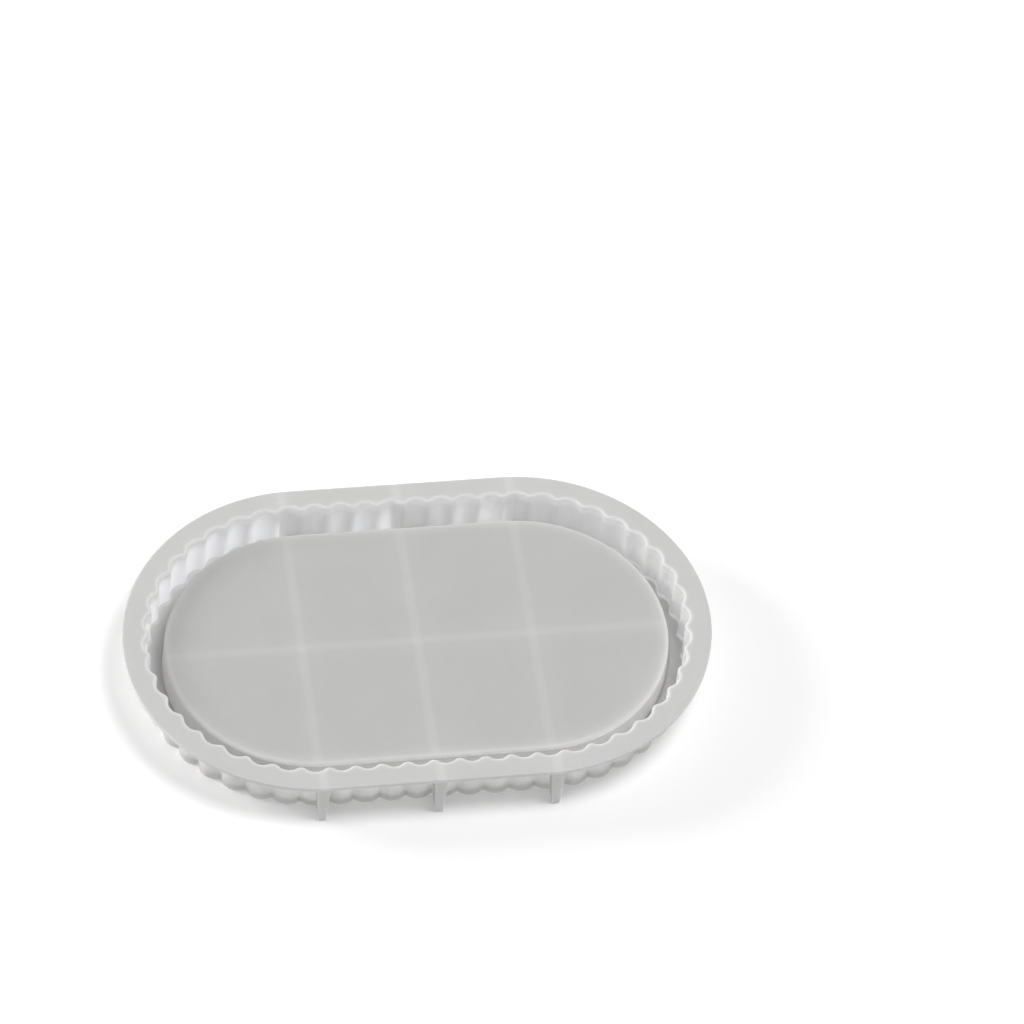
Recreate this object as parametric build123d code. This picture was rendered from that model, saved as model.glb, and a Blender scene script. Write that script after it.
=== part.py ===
from build123d import *
import math
import os

# Silicone resin casting mould for a fluted, stadium-shaped tray.
# Millimetres, +Z up, X along the length. The origin is at the centre of the underside, on
# the bench. The mould is one soft moulding, cast open side up. It is split here into its
# working regions, which meet face to face.

# Overall sizes
WIDTH = 160.0
LENGTH = 252.5
HEIGHT = 23.0
HALF_STRAIGHT = (LENGTH - WIDTH) / 2    # the end arcs are centred at x = +-HALF_STRAIGHT

# Rim flange
RIM_THICKNESS = 2.1
RIM_EDGE_ROUND = 0.4
RIM_UNDERSIDE = HEIGHT - RIM_THICKNESS

# Fluted wall round the channel
FLUTES = 54                             # 27 from one straight to the next
FLUTE_RADIUS = 69.7                     # end radius of the inner face, midway in the flutes
FLUTE_DEPTH = 2.1                       # from an inward tooth's tip to a hollow's deepest line
TOOTH_RADIUS = 2.9                      # the hollows are rounder than the teeth between them
PITCH_RADIUS = 65.1                     # end radius at which the flutes are evenly spaced
WALL_THICKNESS = 1.6
LIP_ROUND = 0.7                         # round the rim's opening

# Channel and core
FLOOR_THICKNESS = 2.0
CORE_RADIUS = 62.0                      # end radius of the core at its top
CORE_DRAFT = 2.5                        # degrees, wider at the foot of the core
CORE_TOP = HEIGHT - 7.5
CORE_WALL_THICKNESS = 1.9
DECK_THICKNESS = 2.2
DECK_ROUND = 1.4
DECK_UNDERSIDE = CORE_TOP - DECK_THICKNESS

# Ribs under the core and feet under the rim, on the same three cross lines
RIB_SPACING = 49.65
RIB_WIDTH_AT_BENCH = 3.2
RIB_WIDTH_AT_RIM = 5.4


def stadium(end_radius, z=0.0):
    """A flat stadium face with its end arcs on the mould's two centres."""
    slot = SlotCenterToCenter(2 * HALF_STRAIGHT, 2 * end_radius)
    return Pos(0, 0, z) * slot


def place_on_stadium(along, end_radius):
    """A point on a stadium and the outward direction there.

    The distance along runs counter-clockwise round the pitch stadium, from the left end of
    the front straight.
    """
    straight = 2 * HALF_STRAIGHT
    half_lap = straight + math.pi * PITCH_RADIUS
    side = 1 if along % (2 * half_lap) < half_lap else -1
    rest = along % half_lap
    if rest < straight:
        point = Vector(rest - HALF_STRAIGHT, -end_radius)
        outward = Vector(0, -1)
    else:
        turn = (rest - straight) / PITCH_RADIUS - math.pi / 2
        outward = Vector(math.cos(turn), math.sin(turn))
        point = Vector(HALF_STRAIGHT, 0) + outward * end_radius
    return point * side, outward * side


def hollow_arc(tooth_centre, hollow, outward, offset):
    """The arc of a hollow that runs tangent from a tooth's arc to the hollow's deepest point.

    It returns the tangent point, a point midway and the deepest point, all moved outward by
    offset. The deepest point lies on the line through it along the outward direction.
    """
    reach = tooth_centre - hollow
    radius = (reach.dot(reach) - TOOTH_RADIUS ** 2) / (2 * (TOOTH_RADIUS - reach.dot(outward)))
    centre = hollow - outward * radius
    towards_tooth = (tooth_centre - centre).normalized()
    towards_middle = (towards_tooth + outward).normalized()
    size = radius + offset
    return centre + towards_tooth * size, centre + towards_middle * size, centre + outward * size


def fluted_face(offset, z=0.0):
    """A flat face inside the fluted outline, moved outward by offset.

    Each flute is a tooth's arc, which bulges inward, and two tangent arcs for its hollow.
    """
    pitch = 2 * (2 * HALF_STRAIGHT + math.pi * PITCH_RADIUS) / FLUTES
    edges = []
    for i in range(FLUTES):
        tooth, tooth_out = place_on_stadium(i * pitch, FLUTE_RADIUS - FLUTE_DEPTH / 2)
        centre = tooth + tooth_out * TOOTH_RADIUS
        before = place_on_stadium((i - 0.5) * pitch, FLUTE_RADIUS + FLUTE_DEPTH / 2)
        after = place_on_stadium((i + 0.5) * pitch, FLUTE_RADIUS + FLUTE_DEPTH / 2)
        start, middle_before, deepest_before = hollow_arc(centre, *before, offset)
        end, middle_after, deepest_after = hollow_arc(centre, *after, offset)
        edges.append(ThreePointArc(deepest_before, middle_before, start))
        edges.append(ThreePointArc(start, tooth + tooth_out * offset, end))
        edges.append(ThreePointArc(end, middle_after, deepest_after))
    return Pos(0, 0, z) * make_face(edges)


def draft_offset(z):
    """How far the drafted core stands out at height z, past its radius at the top."""
    return (CORE_TOP - z) * math.tan(math.radians(CORE_DRAFT))


def drafted_core(inset, bottom, top):
    """The core's tapered stadium, reduced all round by inset, between two heights."""
    low = stadium(CORE_RADIUS - inset + draft_offset(bottom), bottom)
    high = stadium(CORE_RADIUS - inset + draft_offset(top), top)
    return loft([low, high], ruled=True)


def rib_width(z):
    """The ribs and feet taper from the rim down to the bench."""
    return RIB_WIDTH_AT_BENCH + (RIB_WIDTH_AT_RIM - RIB_WIDTH_AT_BENCH) * z / RIM_UNDERSIDE


def rib_prism(top, length):
    """A tapered rib along Y, centred on the origin, from the bench up to top."""
    low = rib_width(0) / 2
    high = rib_width(top) / 2
    section = Plane.XZ * Polygon((-low, 0), (low, 0), (high, top), (-high, top), align=None)
    return extrude(section, length / 2, both=True)


def rim_flange():
    """The flat rim: a stadium plate with the fluted opening, and a rounded lip round it."""
    plate = extrude(stadium(WIDTH / 2, RIM_UNDERSIDE), RIM_THICKNESS)
    plate = fillet(plate.edges().group_by(Axis.Z)[-1], RIM_EDGE_ROUND)
    plate = fillet(plate.edges().group_by(Axis.Z)[0], RIM_EDGE_ROUND)
    plate = plate - extrude(fluted_face(0), HEIGHT)
    top = plate.faces().sort_by(Axis.Z)[-1]
    return fillet(top.inner_wires()[0].edges(), LIP_ROUND)


def fluted_wall():
    """The thin upright wall under the rim, wavy inside and out."""
    return extrude(fluted_face(WALL_THICKNESS), RIM_UNDERSIDE) - extrude(fluted_face(0), HEIGHT)


def channel_floor():
    """The floor of the channel that forms the tray's rim."""
    slab = extrude(fluted_face(0), FLOOR_THICKNESS)
    return slab - drafted_core(0, 0, FLOOR_THICKNESS)


def core_wall():
    """The drafted wall round the hollow core."""
    return drafted_core(0, 0, DECK_UNDERSIDE) - drafted_core(CORE_WALL_THICKNESS, 0, DECK_UNDERSIDE)


def core_deck():
    """The top of the core, which forms the inside of the tray."""
    deck = drafted_core(0, DECK_UNDERSIDE, CORE_TOP)
    return fillet(deck.edges().group_by(Axis.Z)[-1], DECK_ROUND)


def core_hollow():
    """The open space under the deck, inside the core wall."""
    return drafted_core(CORE_WALL_THICKNESS, 0, DECK_UNDERSIDE)


def cross_rib(x):
    """One rib across the hollow core, from wall to wall."""
    return (Pos(x, 0, 0) * rib_prism(DECK_UNDERSIDE, WIDTH)) & core_hollow()


def long_rib_piece(x_start, x_end):
    """The stretch of the long rib between two cross ribs, or out to the core wall."""
    middle = (x_start + x_end) / 2
    bar = Pos(middle, 0, 0) * Rot(0, 0, 90) * rib_prism(DECK_UNDERSIDE, x_end - x_start)
    bar = bar & core_hollow()
    for x in rib_lines:
        bar = bar - Pos(x, 0, 0) * rib_prism(DECK_UNDERSIDE, WIDTH)
    return bar


def foot(x, side):
    """One foot under the rim, from the fluted wall out to the rim's edge."""
    blade = Pos(x, side * WIDTH / 4, 0) * rib_prism(RIM_UNDERSIDE, WIDTH / 2)
    return blade - extrude(fluted_face(WALL_THICKNESS), HEIGHT)


def save(name, shape):
    """Write one named sub-part."""
    shape.label = name
    export_step(shape, "parts/" + name + ".step")
    print(name, round(shape.volume, 1), len(shape.solids()))


rib_lines = [-RIB_SPACING, 0.0, RIB_SPACING]
rib_names = ["left", "centre", "right"]

os.makedirs("parts", exist_ok=True)
save("rim_flange", rim_flange())
save("fluted_wall", fluted_wall())
save("channel_floor", channel_floor())
save("core_wall", core_wall())
save("core_deck", core_deck())

for name, x in zip(rib_names, rib_lines):
    save("cross_rib_" + name, cross_rib(x))
    save("foot_front_" + name, foot(x, -1))
    save("foot_back_" + name, foot(x, 1))

core_end = HALF_STRAIGHT + CORE_RADIUS
save("long_rib_outer_left", long_rib_piece(-core_end, -RIB_SPACING))
save("long_rib_inner_left", long_rib_piece(-RIB_SPACING, 0))
save("long_rib_inner_right", long_rib_piece(0, RIB_SPACING))
save("long_rib_outer_right", long_rib_piece(RIB_SPACING, core_end))
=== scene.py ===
"""Looks of the silicone resin casting mould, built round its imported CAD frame.

The mould is one translucent moulding. Each of its regions is a closed mesh of its own, and
neighbours stand a hair apart. Light can't cross that gap, so most of the hidden faces beside it
glow faintly, in place of the light that the silicone would carry on.
"""

import math

import bpy
import numpy as np
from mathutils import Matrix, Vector


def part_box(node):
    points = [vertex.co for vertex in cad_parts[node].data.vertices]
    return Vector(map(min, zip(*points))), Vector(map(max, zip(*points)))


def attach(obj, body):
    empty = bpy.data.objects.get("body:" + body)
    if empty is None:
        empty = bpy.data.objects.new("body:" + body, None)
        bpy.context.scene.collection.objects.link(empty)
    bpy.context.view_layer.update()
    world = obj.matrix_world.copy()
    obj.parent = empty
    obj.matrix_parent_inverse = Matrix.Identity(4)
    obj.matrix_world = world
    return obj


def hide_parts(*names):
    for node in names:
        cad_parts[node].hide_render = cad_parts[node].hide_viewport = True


MM = 0.001

# The camera comes first: where it stands, how it is turned and its lens
CAMERA_PLACE_MM = (-321.7, -1623.0, 2159.8)
CAMERA_TURN_DEG = (38.741, -3.667, -7.857)
CAMERA_LENS = 222.9
CAMERA_SENSOR = 36.0
CAMERA_CLIP = (0.1, 20.0)

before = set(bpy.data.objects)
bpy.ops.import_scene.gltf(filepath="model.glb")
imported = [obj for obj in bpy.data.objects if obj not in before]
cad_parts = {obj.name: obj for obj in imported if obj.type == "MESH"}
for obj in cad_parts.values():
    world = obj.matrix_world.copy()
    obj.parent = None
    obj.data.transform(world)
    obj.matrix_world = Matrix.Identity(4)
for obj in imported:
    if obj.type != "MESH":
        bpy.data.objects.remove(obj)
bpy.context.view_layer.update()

# Sizes read from the frame
rim_low, rim_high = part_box("rim_flange")
floor_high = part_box("channel_floor")[1]
core_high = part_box("core_wall")[1]
deck_low, deck_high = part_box("core_deck")
rib_low, rib_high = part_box("cross_rib_right")
foot_low, foot_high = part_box("foot_front_right")

HALF_STRAIGHT = rim_high.x - rim_high.y
RIM_RADIUS = rim_high.y
RIM_TOP = rim_high.z
RIM_UNDERSIDE = rim_low.z
DECK_TOP = deck_high.z
DECK_UNDERSIDE = deck_low.z
FLOOR_TOP = floor_high.z
CORE_FOOT_RADIUS = core_high.y
CORE_DRAFT = (core_high.y - deck_high.y) / DECK_UNDERSIDE
RIB_SPACING = (rib_low.x + rib_high.x) / 2
RIB_LINES = {"left": -RIB_SPACING, "centre": 0.0, "right": RIB_SPACING}
RIB_WIDTH_AT_RIM = foot_high.x - foot_low.x

# Sizes that no box gives, the same as in the CAD
FLUTES = 54
FLUTE_RADIUS = 69.7 * MM
FLUTE_DEPTH = 2.1 * MM
TOOTH_RADIUS = 2.9 * MM
PITCH_RADIUS = 65.1 * MM
WALL_THICKNESS = 1.6 * MM
CORE_WALL_THICKNESS = 1.9 * MM
RIB_WIDTH_AT_BENCH = 3.2 * MM

# Rounds, some a little larger than in the CAD, and the hair between neighbouring regions
LIP_ROUND = 0.8 * MM
RIM_ROUND = 0.45 * MM
DECK_ROUND = 1.5 * MM
CHANNEL_ROUND = 1.3 * MM
CHANNEL_TOP = FLOOR_TOP + CHANNEL_ROUND
FOOT_ROUND = 0.35 * MM
HAIR = 0.012 * MM
BENCH_ROUND = 0.25 * MM

# Meshing: the flat band beside the lip, points along arcs, rows, and where shading breaks
LIP_BAND = 2.0 * MM
ARC_STEPS = 5
ROUND_STEPS = 6
FOOT_STEPS = 9
SHARP_DEG = 35

# Silicone: the sizes of its patterns, and how strong each is
CLOUD_SIZE = 18 * MM
CLOUD_DEPTH = 0.012
DUST_SIZE = 0.9 * MM
DUST_DEPTH = 0.012
NOISE_RANGE = (0.2, 0.8)
# Painted light: lighter lines over the ribs and feet with a faint wide glow, and a lighter border
# round the deck, where more silicone would send back more light
LINE_CORE = 0.8 * MM
LINE_EDGE = 3.0 * MM
GLOW_EDGE = 14 * MM
GLOW_SHARE = 0.35
EDGE_REACH = 7 * MM
SHEEN_SIZE = 5 * MM
SHEEN_RANGE = (0.25, 0.75)
ROUGHNESS = (0.42, 0.56)
WAVE_SIZE = 14 * MM
WAVE_HEIGHT = 0.12 * MM
GRAIN_SIZE = 0.7 * MM
GRAIN_HEIGHT = 0.012 * MM
WARMTH = (1.0, 0.997, 0.988)
WANDER = (1.0, 1.02, 1.12)
SILICONE_IOR = 1.41

# How light some regions are, from 0 to 1, as painted light and shade, how far light wanders in
# them, in millimetres, and where each look starts and ends
WALL_TONE = 0.78
WALL_DEPTH = 14
# Painted light: the wall turns lighter over its top 3 mm, and the rim's inner face with it, in
# place of light lost at the gap under the rim
COLLAR_START = RIM_UNDERSIDE - 3 * MM
COLLAR_LIGHT_TONE = 0.93
# Painted highlight: the lip's round is lighter
LIP_HIGHLIGHT_TONE = 0.73
LIP_DEPTH = 4
# Painted light: a light strip on the wall where each back foot stands behind it, in place of the
# light the foot carries into the wall
FOOT_CORE = 1.4 * MM
FOOT_EDGE = 2.8 * MM
BACK_FOOT_LIGHT_TONE = 0.99
FOOT_DEPTH = 20
BACK_START = 20 * MM
# Painted light: the core's wall far lighter, in place of light that would come through the hollow
# core, and the deck's rounded edge lighter down to it
CORE_LIGHT_TONE = 0.97
DECK_EDGE_LIGHT_TONE = 0.68
DECK_EDGE_WIDTH = 3 * MM

# Glow of the hidden faces where regions meet, up at the rim and low down
JOIN_GLOW = 0.6
LOW_JOIN_GLOW = 0.18

# Stage. Each light has an azimuth and elevation in degrees, a diameter in metres and a power
FLOOR_REACH = 3.0
FLOOR_DROP = 0.05 * MM
FLOOR_COLOUR = (0.95, 0.95, 0.95, 1)
FLOOR_ROUGHNESS = 0.9
FLOOR_GLOW = 0.15
WHITE = (1, 1, 1, 1)
WORLD_STRENGTH = 0.3
LIGHT_REACH = 2.0
LIGHTS = {"key": (155, 21, 0.8, 23.5), "top": (350, 70, 0.9, 21)}
BOUNCES = 12


# ---------------------------------------------------------------- outlines

def place_on_stadium(along, radius):
    """A point on a stadium and the outward direction, at a distance round the pitch stadium."""
    straight = 2 * HALF_STRAIGHT
    half_lap = straight + math.pi * PITCH_RADIUS
    side = 1 if along % (2 * half_lap) < half_lap else -1
    rest = along % half_lap
    if rest < straight:
        outward = np.array((0.0, -1.0))
        point = np.array((rest - HALF_STRAIGHT, -radius))
    else:
        turn = (rest - straight) / PITCH_RADIUS - math.pi / 2
        outward = np.array((math.cos(turn), math.sin(turn)))
        point = np.array((HALF_STRAIGHT, 0.0)) + outward * radius
    return point * side, outward * side


def arc_points(centre, size, start, end, steps):
    """Points of an arc between two directions, without the last."""
    turn = math.atan2(start[0] * end[1] - start[1] * end[0], start.dot(end))
    points = []
    for i in range(steps):
        a = turn * i / steps
        spin = np.array(((math.cos(a), -math.sin(a)), (math.sin(a), math.cos(a))))
        points.append(centre + spin @ start * size)
    return points


def hollow_circle(tooth_centre, hollow, outward):
    """Centre and radius of the hollow's circle, which touches the tooth's circle."""
    reach = tooth_centre - hollow
    radius = (reach.dot(reach) - TOOTH_RADIUS ** 2) / (2 * (TOOTH_RADIUS - reach.dot(outward)))
    return hollow - outward * radius, radius


def fluted(offset):
    """The fluted outline, moved outward by offset, as an array of points."""
    pitch = 2 * (2 * HALF_STRAIGHT + math.pi * PITCH_RADIUS) / FLUTES
    points = []
    for i in range(FLUTES):
        tooth, tooth_out = place_on_stadium(i * pitch, FLUTE_RADIUS - FLUTE_DEPTH / 2)
        tooth_centre = tooth + tooth_out * TOOTH_RADIUS
        halves = []
        for half in (-0.5, 0.5):
            deep, out = place_on_stadium((i + half) * pitch, FLUTE_RADIUS + FLUTE_DEPTH / 2)
            centre, radius = hollow_circle(tooth_centre, deep, out)
            towards_tooth = (tooth_centre - centre) / np.linalg.norm(tooth_centre - centre)
            halves.append((centre, radius + offset, towards_tooth, out))
        (c0, r0, t0, o0), (c1, r1, t1, o1) = halves
        points += arc_points(c0, r0, o0, t0, ARC_STEPS)
        points += arc_points(tooth_centre, TOOTH_RADIUS - offset, -t0, -t1, ARC_STEPS + 1)
        points += arc_points(c1, r1, t1, o1, ARC_STEPS)
    return np.array(points)


def beside_flutes():
    """For each point of the fluted outline, its nearest point on the spine and the way out."""
    points = fluted(0.0)
    spine = np.zeros_like(points)
    spine[:, 0] = np.clip(points[:, 0], -HALF_STRAIGHT, HALF_STRAIGHT)
    out = points - spine
    return spine, out / np.linalg.norm(out, axis=1, keepdims=True)


SPINE, OUT = beside_flutes()


def plain(radius):
    """A plain stadium outline with as many points as the fluted one."""
    return SPINE + OUT * radius


def between(first, second, share):
    """An outline part of the way from one to another."""
    return first + (second - first) * share


def quarter(steps=ROUND_STEPS):
    """Cosines and sines of a quarter turn."""
    return [(math.cos(a), math.sin(a)) for a in np.linspace(0, math.pi / 2, steps + 1)]


# ------------------------------------------------------------------ meshes

def make_object(name, verts, faces, joins, low_joins):
    """A smooth closed mesh that rides on the mould and stands for its CAD node.

    joins and low_joins are the faces where the silicone runs on into the next region, up at
    the rim, which is well lit, and low down.
    """
    mesh = bpy.data.meshes.new("visual_" + name)
    mesh.from_pydata([tuple(v) for v in verts], [], faces)
    mesh.validate()
    mesh.polygons.foreach_set("use_smooth", [True] * len(mesh.polygons))
    mesh.set_sharp_from_angle(angle=math.radians(SHARP_DEG))
    for slot, joined in ((1, joins), (2, low_joins)):
        for face in joined:
            mesh.polygons[face].material_index = slot
    piece = bpy.data.objects.new("visual_" + name, mesh)
    bpy.context.scene.collection.objects.link(piece)
    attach(piece, "root")
    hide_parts(name)
    return piece


def rows_to_verts(rows):
    """Stacks outlines at their heights into one list of points."""
    return np.concatenate([np.column_stack((line, np.full(len(line), z))) for line, z in rows])


def ring(name, rows, join_rows=(), low_join_rows=()):
    """A closed ring: rows are (outline, height) round its section, anticlockwise seen along it.

    Each of join_rows and low_join_rows starts a strip that meets another region.
    """
    n = len(rows[0][0])
    m = len(rows)
    faces = []
    for j in range(m):
        k = (j + 1) % m
        for i in range(n):
            h = (i + 1) % n
            faces.append((j * n + i, j * n + h, k * n + h, k * n + i))
    joins = [j * n + i for j in join_rows for i in range(n)]
    low_joins = [j * n + i for j in low_join_rows for i in range(n)]
    return make_object(name, rows_to_verts(rows), faces, joins, low_joins)


def disc(name, rows, joins=(), low_joins=()):
    """A closed plate: the first row is filled as its underside, the last as its top.

    Face 0 is the underside and face 1 the top. The strip above row j starts at 2 + j * n.
    """
    n = len(rows[0][0])
    m = len(rows)
    faces = [tuple(range(n))[::-1], tuple(range((m - 1) * n, m * n))]
    for j in range(m - 1):
        for i in range(n):
            h = (i + 1) % n
            faces.append((j * n + i, j * n + h, (j + 1) * n + h, (j + 1) * n + i))
    return make_object(name, rows_to_verts(rows), faces, joins, low_joins)


def bar(name, sections):
    """A closed bar: sections are equal loops of points from one end to the other.

    It meets other regions at its ends and along its top, which is its loops' last edge.
    """
    n = len(sections[0])
    verts = [p for loop in sections for p in loop]
    last = (len(sections) - 1) * n
    faces = [tuple(range(n)), tuple(range(last, last + n))[::-1]]
    for j in range(len(sections) - 1):
        for i in range(n):
            h = (i + 1) % n
            faces.append((j * n + h, j * n + i, (j + 1) * n + i, (j + 1) * n + h))
    joins = [0, 1] + [1 + n * (j + 1) for j in range(len(sections) - 1)]
    return make_object(name, verts, faces, (), joins)


# ----------------------------------------------------------------- regions

def core_radius(z):
    """Radius of the core's outer face at a height."""
    return CORE_FOOT_RADIUS - CORE_DRAFT * z


def make_rim_flange():
    """The flat rim, with its rounded outer edge and the rounded lip of its fluted opening."""
    inner = fluted(0.0)
    outer = fluted(WALL_THICKNESS)
    edge = plain(RIM_RADIUS - RIM_ROUND)
    rows = [(inner, RIM_UNDERSIDE, 1.0), (outer, RIM_UNDERSIDE, 1.0)]
    rows += [(between(outer, edge, share), RIM_UNDERSIDE, 0.0) for share in (0.3, 0.6)]
    for c, s in quarter():
        radius = RIM_RADIUS - RIM_ROUND * (1 - s)
        rows.append((plain(radius), RIM_UNDERSIDE + RIM_ROUND * (1 - c), 0.0))
    for c, s in quarter():
        rows.append((plain(RIM_RADIUS - RIM_ROUND * (1 - c)), RIM_TOP - RIM_ROUND * (1 - s), 0.0))
    band = fluted(LIP_BAND)
    rows += [(between(band, edge, share), RIM_TOP, 0.0) for share in (0.75, 0.5, 0.25, 0.0)]
    for share in (0.33, 0.67):
        rows.append((fluted(LIP_BAND + (LIP_ROUND - LIP_BAND) * share), RIM_TOP, share))
    for c, s in quarter():
        rows.append((fluted(LIP_ROUND * (1 - s)), RIM_TOP - LIP_ROUND * (1 - c), 1.0))
    piece = ring("rim_flange", [row[:2] for row in rows], [0])
    # near_lip marks the lip's painted highlight, fading over the band beside it, and the painted
    # light on the rim's inner face
    near_lip = piece.data.attributes.new("near_lip", "FLOAT", "POINT")
    near_lip.data.foreach_set("value", np.repeat([row[2] for row in rows], len(inner)))
    return piece


def make_fluted_wall():
    """The fluted wall under the rim."""
    inner = fluted(0.0)
    outer = fluted(WALL_THICKNESS)
    top = RIM_UNDERSIDE - HAIR
    rows = [(fluted(BENCH_ROUND), 0.0), (fluted(WALL_THICKNESS - BENCH_ROUND), 0.0)]
    rows += [(outer, z) for z in (BENCH_ROUND, CHANNEL_TOP, top)]
    rows += [(inner, z) for z in (top, CHANNEL_TOP, BENCH_ROUND)]
    return ring("fluted_wall", rows, [4, 6])


def make_channel_floor():
    """The floor between the fluted wall and the core, with a hollow round up to each."""
    outer = fluted(-HAIR)
    low = plain(core_radius(0) + HAIR)
    high = plain(core_radius(CHANNEL_TOP) + HAIR)
    rows = [(low, 0.0), (between(low, outer, 0.5), 0.0), (outer, 0.0)]
    for c, s in quarter():
        rows.append((fluted(-HAIR - CHANNEL_ROUND * (1 - c)), CHANNEL_TOP - CHANNEL_ROUND * s))
    for c, s in quarter():
        radius = core_radius(FLOOR_TOP) + HAIR + CHANNEL_ROUND * (1 - s)
        rows.append((plain(radius), CHANNEL_TOP - CHANNEL_ROUND * c))
    rows[-1] = (high, CHANNEL_TOP)
    return ring("channel_floor", rows, low_join_rows=[2, len(rows) - 1])


def make_core_wall():
    """The drafted wall of the hollow core."""
    top = DECK_UNDERSIDE - HAIR
    rows = [(plain(core_radius(z)), z) for z in (0.0, CHANNEL_TOP, top)]
    rows += [(plain(core_radius(z) - CORE_WALL_THICKNESS), z) for z in (top, CHANNEL_TOP, 0.0)]
    return ring("core_wall", rows, low_join_rows=[0, 2])


def make_core_deck():
    """The core's top, with a rounded edge."""
    edge = core_radius(DECK_UNDERSIDE)
    below_round = DECK_TOP - DECK_ROUND
    rows = [(plain(radius), DECK_UNDERSIDE) for radius in (edge / 2, edge - CORE_WALL_THICKNESS)]
    rows += [(plain(edge), DECK_UNDERSIDE), (plain(core_radius(below_round)), below_round)]
    flat = core_radius(DECK_TOP) - DECK_ROUND
    for c, s in quarter()[1:]:
        rows.append((plain(flat + DECK_ROUND * c), DECK_TOP - DECK_ROUND * (1 - s)))
    rows += [(plain(flat * share), DECK_TOP) for share in (0.97, 0.9, 0.5)]
    over_wall = range(2 + len(SPINE), 2 + 2 * len(SPINE))
    return disc("core_deck", rows, over_wall)


def rib_width(z):
    """The ribs and feet taper down to the bench."""
    return RIB_WIDTH_AT_BENCH + (RIB_WIDTH_AT_RIM - RIB_WIDTH_AT_BENCH) * z / RIM_UNDERSIDE


def rib_side(top):
    """Half-widths and heights down one side of a rib, with its round at the bench."""
    low = rib_width(0) / 2
    side = [(rib_width(z) / 2, z) for z in np.linspace(top, FOOT_ROUND, 5)]
    return side + [(low - FOOT_ROUND * (1 - c), FOOT_ROUND * (1 - s)) for c, s in quarter(4)[1:]]


def rib_section(top):
    """Points round a rib's section, from its top down and up again."""
    right = rib_side(top)
    return right + [(-x, z) for x, z in reversed(right)]


def rib_between(name, low_end, high_end, top, axis, centre):
    """A rib along axis (0 for X, 1 for Y). Its ends are functions of the section's point."""
    section = rib_section(top)
    sections = []
    for share in np.linspace(0, 1, 9):
        loop = []
        for across, z in section:
            start = low_end(centre + across, z)
            end = high_end(centre + across, z)
            along = start + (end - start) * share
            loop.append((along, centre + across, z) if axis == 0 else (centre + across, along, z))
        sections.append(loop)
    if axis == 1:
        sections.reverse()
    return bar(name, sections)


def core_inside(across, z):
    """How far the hollow core reaches along Y at a place along X."""
    radius = core_radius(z) - CORE_WALL_THICKNESS - HAIR
    past = max(abs(across) - HALF_STRAIGHT, 0.0)
    return math.sqrt(radius ** 2 - past ** 2)


def make_cross_rib(name):
    """A rib across the hollow core."""
    return rib_between(
        "cross_rib_" + name,
        lambda x, z: -core_inside(x, z),
        lambda x, z: core_inside(x, z),
        DECK_UNDERSIDE - HAIR,
        1,
        RIB_LINES[name],
    )


def make_long_ribs():
    """The rib along the hollow core, in four stretches between the cross ribs."""
    def end_of_core(sign):
        def reach(y, z):
            radius = core_radius(z) - CORE_WALL_THICKNESS - HAIR
            return sign * (HALF_STRAIGHT + math.sqrt(radius ** 2 - y ** 2))
        return reach

    def side_of_rib(x, sign):
        return lambda y, z: x + sign * (rib_width(z) / 2 + HAIR)

    left, centre, right = RIB_LINES["left"], RIB_LINES["centre"], RIB_LINES["right"]
    stretches = {
        "outer_left": (end_of_core(-1), side_of_rib(left, -1)),
        "inner_left": (side_of_rib(left, 1), side_of_rib(centre, -1)),
        "inner_right": (side_of_rib(centre, 1), side_of_rib(right, -1)),
        "outer_right": (side_of_rib(right, 1), end_of_core(1)),
    }
    return [
        rib_between("long_rib_" + name, low, high, DECK_UNDERSIDE - HAIR, 0, 0.0)
        for name, (low, high) in stretches.items()
    ]


def make_foot(name, side):
    """A foot under the rim's front (side -1) or back (side 1) edge, in layers from the bench up."""
    outline = fluted(WALL_THICKNESS + HAIR)
    outline = outline[outline[:, 1] * side > FLUTE_RADIUS * 0.8]
    outline = outline[np.argsort(outline[:, 0])]
    rows = []
    for half_width, z in reversed(rib_side(RIM_UNDERSIDE - HAIR)):
        across = RIB_LINES[name] + np.linspace(-half_width, half_width, FOOT_STEPS)
        wall = np.column_stack((across, np.interp(across, outline[:, 0], outline[:, 1])))
        reach = RIM_RADIUS - RIM_ROUND / 2 - (rib_width(z) / 2 - half_width)
        past = np.maximum(np.abs(across) - HALF_STRAIGHT, 0.0)
        edge = np.column_stack((across, side * np.sqrt(reach ** 2 - past ** 2)))
        middle = between(wall, edge, 0.5)
        loop = np.concatenate((wall, middle[-1:], edge[::-1], middle[:1]))
        rows.append((loop[::side], z))
    n = len(rows[0][0])
    first = 0 if side > 0 else n - FOOT_STEPS
    at_wall = [2 + j * n + first + i for j in range(len(rows) - 1) for i in range(FOOT_STEPS - 1)]
    where = "front" if side < 0 else "back"
    return disc(f"foot_{where}_{name}", rows, [1] + at_wall)


# --------------------------------------------------------------- materials

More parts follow.
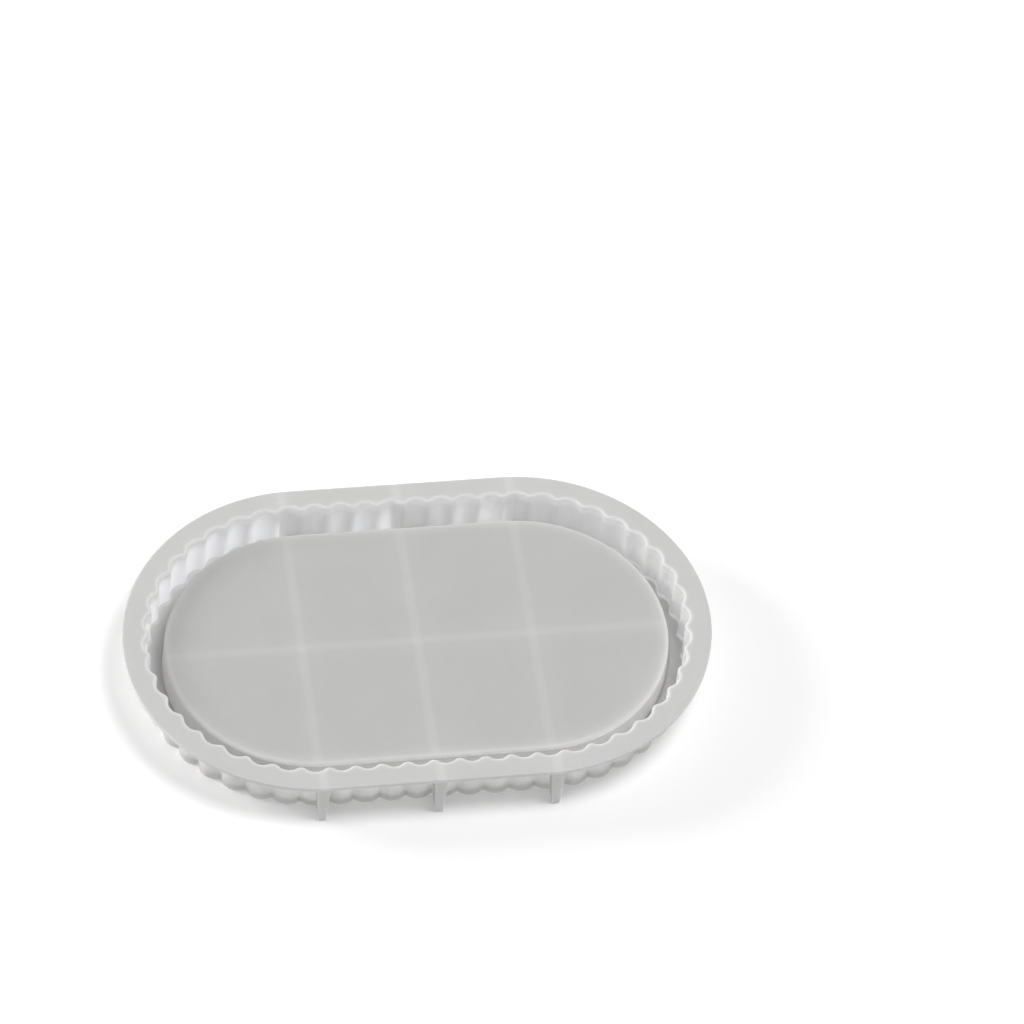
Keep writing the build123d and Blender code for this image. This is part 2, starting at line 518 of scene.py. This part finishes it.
class Nodes:
    """A short way to add nodes to a material. Each call returns the new node's first output."""

    def __init__(self, name):
        self.material = bpy.data.materials.new(name)
        self.material.use_nodes = True
        self.tree = self.material.node_tree
        self.shader = self.tree.nodes["Principled BSDF"]

    def put(self, socket, value):
        """Links a socket to another node's output, or sets its value."""
        if isinstance(value, bpy.types.NodeSocket):
            self.tree.links.new(value, socket)
        else:
            socket.default_value = value

    def add(self, kind, inputs, pick=0, **settings):
        node = self.tree.nodes.new(kind)
        for key, value in settings.items():
            setattr(node, key, value)
        for key, value in inputs.items():
            self.put(node.inputs[key], value)
        return node.outputs[pick]

    def maths(self, operation, first, second=0.0):
        return self.add("ShaderNodeMath", {0: first, 1: second}, operation=operation)

    def fade(self, value, start, end, at_start=1.0, at_end=0.0):
        """Goes smoothly from one number to another as value goes from start to end."""
        inputs = {
            "Value": value,
            "From Min": start,
            "From Max": end,
            "To Min": at_start,
            "To Max": at_end,
        }
        return self.add("ShaderNodeMapRange", inputs, interpolation_type="SMOOTHSTEP")

    def mix(self, share, first, second):
        """Goes from one number to another as share goes from 0 to 1."""
        inputs = {"Factor": share, "A": first, "B": second}
        return self.add("ShaderNodeMix", inputs, data_type="FLOAT")

    def named(self, name):
        """A number that the mesh carries under a name."""
        return self.add("ShaderNodeAttribute", {}, attribute_name=name, pick="Fac")

    def noise(self, place, size, detail=2.0):
        """Noise from 0 to 1 whose lumps are about size across."""
        inputs = {"Vector": place, "Scale": 1 / size, "Detail": detail}
        return self.add("ShaderNodeTexNoise", inputs)


def silicone(name, tone, depth, cross=0.0, along=0.0, edge=0.0, lip=False, wall=False):
    """Translucent white silicone, satin, with painted light where more of it stands behind the
    surface.

    tone is how light it is, set region by region as painted light and shade, and depth sets how far
    light wanders in it, in millimetres. cross, along and edge say how much painted light it gets
    over the cross ribs and feet, over the long rib and at the deck's border. lip gives the rim's
    lip round a painted highlight, and under it the wall's look. wall paints light onto it towards
    the lip, and in a strip where a back foot stands behind it.
    """
    n = Nodes(name)
    place = n.tree.nodes.new("ShaderNodeTexCoord").outputs["Object"]
    parts = n.tree.nodes.new("ShaderNodeSeparateXYZ")
    n.put(parts.inputs[0], place)
    far_x = n.maths("ABSOLUTE", parts.outputs[0])
    far_y = n.maths("ABSOLUTE", parts.outputs[1])
    height = parts.outputs[2]

    # Cloudiness of the rubber, and fine dust on it
    cloud = n.noise(place, CLOUD_SIZE, 3.0)
    lightness = n.fade(cloud, *NOISE_RANGE, 1 - CLOUD_DEPTH, 1 + CLOUD_DEPTH)
    dust = n.noise(place, DUST_SIZE)
    dust = n.fade(dust, *NOISE_RANGE, 1 - DUST_DEPTH, 1 + DUST_DEPTH)
    lightness = n.maths("MULTIPLY", lightness, dust)

    # Painted light where more silicone stands behind the surface: a soft lighter line over each
    # rib, with a faint wide painted glow
    to_cross = n.maths("ABSOLUTE", n.maths("SUBTRACT", far_x, RIB_LINES["right"]))
    to_cross = n.maths("MINIMUM", to_cross, far_x)
    for distance, gain in ((to_cross, cross), (far_y, along)):
        if gain:
            line = n.fade(distance, LINE_CORE, LINE_EDGE, 1 + gain, 1.0)
            glow = n.fade(distance, 0.0, GLOW_EDGE, 1 + gain * GLOW_SHARE, 1.0)
            lightness = n.maths("MULTIPLY", n.maths("MULTIPLY", line, glow), lightness)
    # Painted light: a lighter border round the deck
    if edge:
        past = n.maths("MAXIMUM", n.maths("SUBTRACT", far_x, HALF_STRAIGHT), 0.0)
        squares = n.maths("ADD", n.maths("POWER", past, 2.0), n.maths("POWER", far_y, 2.0))
        radius = n.maths("SQRT", squares)
        rim = core_radius(DECK_TOP)
        border = n.fade(radius, rim - EDGE_REACH, rim, 1.0, 1 + edge)
        lightness = n.maths("MULTIPLY", border, lightness)

    # How light each place is, with its painted light and shade, and how far light wanders there
    shader = n.shader
    tones = n.maths("MULTIPLY", tone, lightness)
    # Painted light on the deck's rounded edge, lighter down to the core's wall
    if edge:
        down_side = n.fade(height, DECK_TOP - DECK_ROUND, DECK_TOP, CORE_LIGHT_TONE, DECK_EDGE_LIGHT_TONE)
        tones = n.mix(n.fade(radius, rim - DECK_EDGE_WIDTH, rim, 0.0, 1.0), tones, down_side)
    depths = None
    # Painted light on the wall's collar under the rim
    wall_tones = n.fade(height, COLLAR_START, RIM_UNDERSIDE, WALL_TONE, COLLAR_LIGHT_TONE)
    # Painted highlight on the lip's round, and on the rim's inner face the wall's painted light
    if lip:
        near_lip = n.named("near_lip")
        on_round = n.fade(height, RIM_TOP - LIP_ROUND, RIM_TOP - LIP_ROUND / 3, 0.0, 1.0)
        tones = n.mix(near_lip, tones, n.mix(on_round, wall_tones, LIP_HIGHLIGHT_TONE))
        depths = n.mix(near_lip, depth * MM, n.mix(on_round, WALL_DEPTH * MM, LIP_DEPTH * MM))
    # Painted light in a strip where a back foot stands behind the wall
    if wall:
        at_foot = n.fade(to_cross, FOOT_CORE, FOOT_EDGE, 1.0, 0.0)
        at_back = n.fade(parts.outputs[1], 0.0, BACK_START, 0.0, 1.0)
        at_foot = n.maths("MULTIPLY", at_foot, at_back)
        tones = n.mix(at_foot, n.maths("MULTIPLY", wall_tones, lightness), BACK_FOOT_LIGHT_TONE)
        depths = n.mix(at_foot, depth * MM, FOOT_DEPTH * MM)
    if depths:
        n.put(shader.inputs["Subsurface Scale"], depths)
    else:
        shader.inputs["Subsurface Scale"].default_value = depth * MM
    colour = n.add("ShaderNodeVectorMath", {0: WARMTH, 3: tones}, operation="SCALE")
    n.put(shader.inputs["Base Color"], colour)
    shader.inputs["Subsurface Weight"].default_value = 1.0
    shader.inputs["Subsurface Radius"].default_value = WANDER
    shader.inputs["IOR"].default_value = SILICONE_IOR
    sheen = n.noise(place, SHEEN_SIZE, 4.0)
    n.put(shader.inputs["Roughness"], n.fade(sheen, *SHEEN_RANGE, *ROUGHNESS))

    # Slow waves of the skin, and its fine cast grain, in metres of height
    waves = n.maths("MULTIPLY", n.noise(place, WAVE_SIZE), WAVE_HEIGHT)
    grain = n.maths("MULTIPLY", n.noise(place, GRAIN_SIZE, 3.0), GRAIN_HEIGHT)
    relief = n.maths("ADD", waves, grain)
    n.put(shader.inputs["Normal"], n.add("ShaderNodeBump", {"Height": relief, "Distance": 1.0}))
    return n.material


def inner_light(name, glow):
    """The faces where regions meet, hidden in the hair between them.

    The real silicone runs on there and carries light across, which a gap can't, so each such
    face gives its neighbour about as much light as the silicone holds.
    """
    n = Nodes(name)
    n.shader.inputs["Base Color"].default_value = (0, 0, 0, 1)
    n.shader.inputs["Specular IOR Level"].default_value = 0.0
    n.shader.inputs["Emission Color"].default_value = WHITE
    n.shader.inputs["Emission Strength"].default_value = glow
    return n.material


# ------------------------------------------------------------------- stage

def make_camera():
    """A long lens, at the photograph's viewing angle."""
    camera = bpy.data.objects.new("camera", bpy.data.cameras.new("camera"))
    camera.location = Vector(CAMERA_PLACE_MM) * MM
    camera.rotation_euler = [math.radians(a) for a in CAMERA_TURN_DEG]
    camera.data.lens = CAMERA_LENS
    camera.data.sensor_width = CAMERA_SENSOR
    camera.data.clip_start, camera.data.clip_end = CAMERA_CLIP
    bpy.context.scene.collection.objects.link(camera)
    bpy.context.scene.camera = camera


def make_floor():
    """A large pale sheet under the mould."""
    reach = FLOOR_REACH
    mesh = bpy.data.meshes.new("floor")
    corners = [(-reach, -reach, 0), (reach, -reach, 0), (reach, reach, 0), (-reach, reach, 0)]
    mesh.from_pydata(corners, [], [(0, 1, 2, 3)])
    floor = bpy.data.objects.new("floor", mesh)
    bpy.context.scene.collection.objects.link(floor)
    floor.location.z = -FLOOR_DROP
    n = Nodes("floor_white")
    n.shader.inputs["Base Color"].default_value = FLOOR_COLOUR
    n.shader.inputs["Roughness"].default_value = FLOOR_ROUGHNESS
    n.shader.inputs["Emission Color"].default_value = WHITE
    n.shader.inputs["Emission Strength"].default_value = FLOOR_GLOW
    mesh.materials.append(n.material)


def area_light(name, azimuth, elevation, size, power):
    """A round white soft box that faces the mould from a direction, LIGHT_REACH away."""
    turn, tilt = math.radians(azimuth), math.radians(elevation)
    aim = Vector((math.cos(tilt) * math.cos(turn), math.cos(tilt) * math.sin(turn), math.sin(tilt)))
    data = bpy.data.lights.new(name, "AREA")
    data.shape = "DISK"
    data.size = size
    data.energy = power
    light = bpy.data.objects.new(name, data)
    light.location = aim * LIGHT_REACH
    light.rotation_euler = aim.to_track_quat("Z", "Y").to_euler()
    bpy.context.scene.collection.objects.link(light)


def make_lights():
    """An even pale surround, and the soft boxes."""
    world = bpy.data.worlds.new("studio")
    world.use_nodes = True
    background = world.node_tree.nodes["Background"]
    background.inputs["Color"].default_value = WHITE
    background.inputs["Strength"].default_value = WORLD_STRENGTH
    bpy.context.scene.world = world
    for name, numbers in LIGHTS.items():
        area_light(name, *numbers)


bpy.context.scene.view_settings.view_transform = "Standard"
make_camera()
make_lights()
make_floor()

pieces = [
    make_rim_flange(),
    make_fluted_wall(),
    make_channel_floor(),
    make_core_wall(),
    make_core_deck(),
]
pieces += [make_cross_rib(name) for name in RIB_LINES]
pieces += make_long_ribs()
pieces += [make_foot(name, side) for side in (-1, 1) for name in RIB_LINES]

# The mould is one silicone throughout: the tones, the first numbers, differ from region to region
# as painted light and shade
MATERIALS = {
    "rim_flange": silicone("silicone_rim", 0.65, 1.2, cross=0.06, lip=True),
    "fluted_wall": silicone("silicone_wall", WALL_TONE, WALL_DEPTH, wall=True),
    "channel_floor": silicone("silicone_channel", 0.6, 9),
    "core_wall": silicone("silicone_core", CORE_LIGHT_TONE, 5),
    "core_deck": silicone("silicone_deck", 0.56, 3, cross=0.05, along=0.05, edge=0.09),
    "rib": silicone("silicone_rib", 0.75, 6),
    "foot_front": silicone("silicone_foot", 0.6, 5),
    # Painted light: the back feet are far lighter than the front ones, so that they glow
    "foot_back": silicone("silicone_foot_back", 0.97, 30),
}
inside = [
    inner_light("silicone_inside", JOIN_GLOW),
    inner_light("silicone_inside_low", LOW_JOIN_GLOW),
]
for piece in pieces:
    kind = next(key for key in MATERIALS if key in piece.name)
    for material in [MATERIALS[kind]] + inside:
        piece.data.materials.append(material)
bpy.context.scene.cycles.diffuse_bounces = BOUNCES
